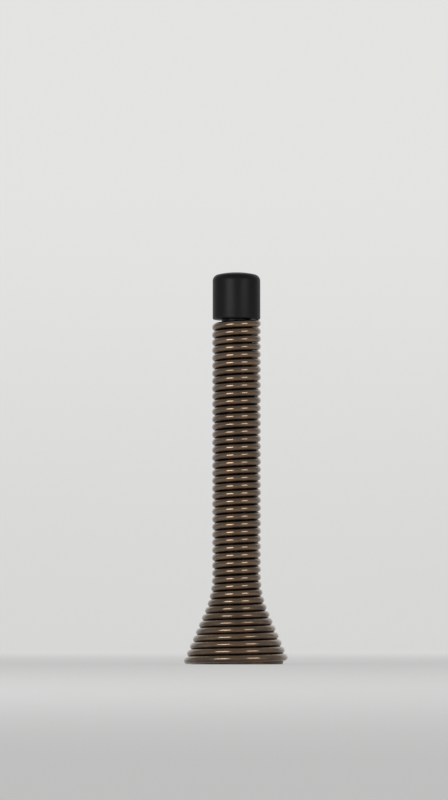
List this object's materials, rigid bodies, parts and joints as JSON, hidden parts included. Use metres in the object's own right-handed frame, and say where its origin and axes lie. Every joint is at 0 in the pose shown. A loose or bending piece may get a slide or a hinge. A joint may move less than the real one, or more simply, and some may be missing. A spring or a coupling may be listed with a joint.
{
  "type": "spring door stop",
  "caption": "Close-wound wire coil that flares into a foot, with a rubber bumper tip, a screw-in mounting hub and its wall screw; it stops a door short of the wall.",
  "frame": {"origin": "middle of the hub's screw hole on the plane that the foot stands on, which is also the wall face", "axes": "+Z along the coil's axis from the foot to the rubber tip; -Y is the side that the picture shows"},
  "size_m": [0.0201, 0.0199, 0.0762],
  "materials": {
    "antique_brass_wire": "steel wire plated in antique brass: warm satin crowns, dark brown patina between the turns",
    "black_rubber": "neutral black moulded rubber with a soft satin surface",
    "hub_metal": "cast zinc with the same antique brass finish, a little duller",
    "screw_steel": "steel screw, antique brass plated to match the coil"
  },
  "bodies": {
    "root": {"coil_spring": "antique_brass_wire", "rubber_tip": "black_rubber", "mounting_hub": "hub_metal", "mounting_screw": "screw_steel"}
  },
  "joints": []
}
